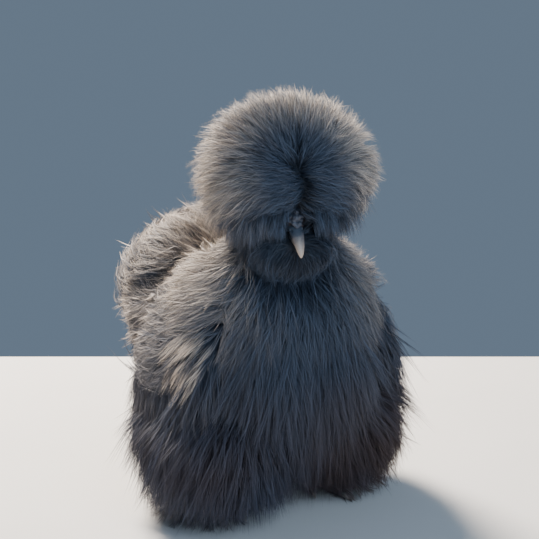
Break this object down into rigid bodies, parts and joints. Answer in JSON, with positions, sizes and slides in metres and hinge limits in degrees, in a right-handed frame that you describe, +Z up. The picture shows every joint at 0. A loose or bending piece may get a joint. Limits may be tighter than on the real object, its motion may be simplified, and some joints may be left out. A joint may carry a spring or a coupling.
{
  "type": "silkie chicken",
  "caption": "Life-size standing silkie hen with a full round crest, beard, silky plumage and feathered feet, head lowered and turned.",
  "frame": {"origin": "on the floor, under the middle of the bird's bounding box", "axes": "+Z up, -Y where the breast points, +X her left side"},
  "size_m": [0.2042, 0.2266, 0.2836],
  "materials": {
    "plumage": "fine silky down, slate with warm light tips",
    "skin": "dark mulberry skin, satin",
    "scales": "slate scaled skin with plumage of the same slate on its outer side",
    "beak": "slate horn, paler at the tip, satin",
    "comb": "rough mulberry, satin",
    "eye": "near black, wet gloss",
    "claw": "slate horn, satin"
  },
  "bodies": {
    "root": {"head": "skin", "crest": "plumage", "beard": "plumage", "neck": "plumage", "torso": "plumage", "tail": "plumage", "wing_right": "plumage", "wing_left": "plumage", "thigh_right": "plumage", "thigh_left": "plumage", "shank_right": "plumage", "shank_left": "plumage", "foot_right": "scales", "foot_left": "scales", "beak_upper": "beak", "beak_lower": "beak", "comb": "comb", "eye_right": "eye", "eye_left": "eye", "claw_right_inner": "claw", "claw_right_middle": "claw", "claw_right_outer": "claw", "claw_right_hind": "claw", "claw_right_fifth": "claw", "claw_left_inner": "claw", "claw_left_middle": "claw", "claw_left_outer": "claw", "claw_left_hind": "claw", "claw_left_fifth": "claw"}
  },
  "joints": []
}
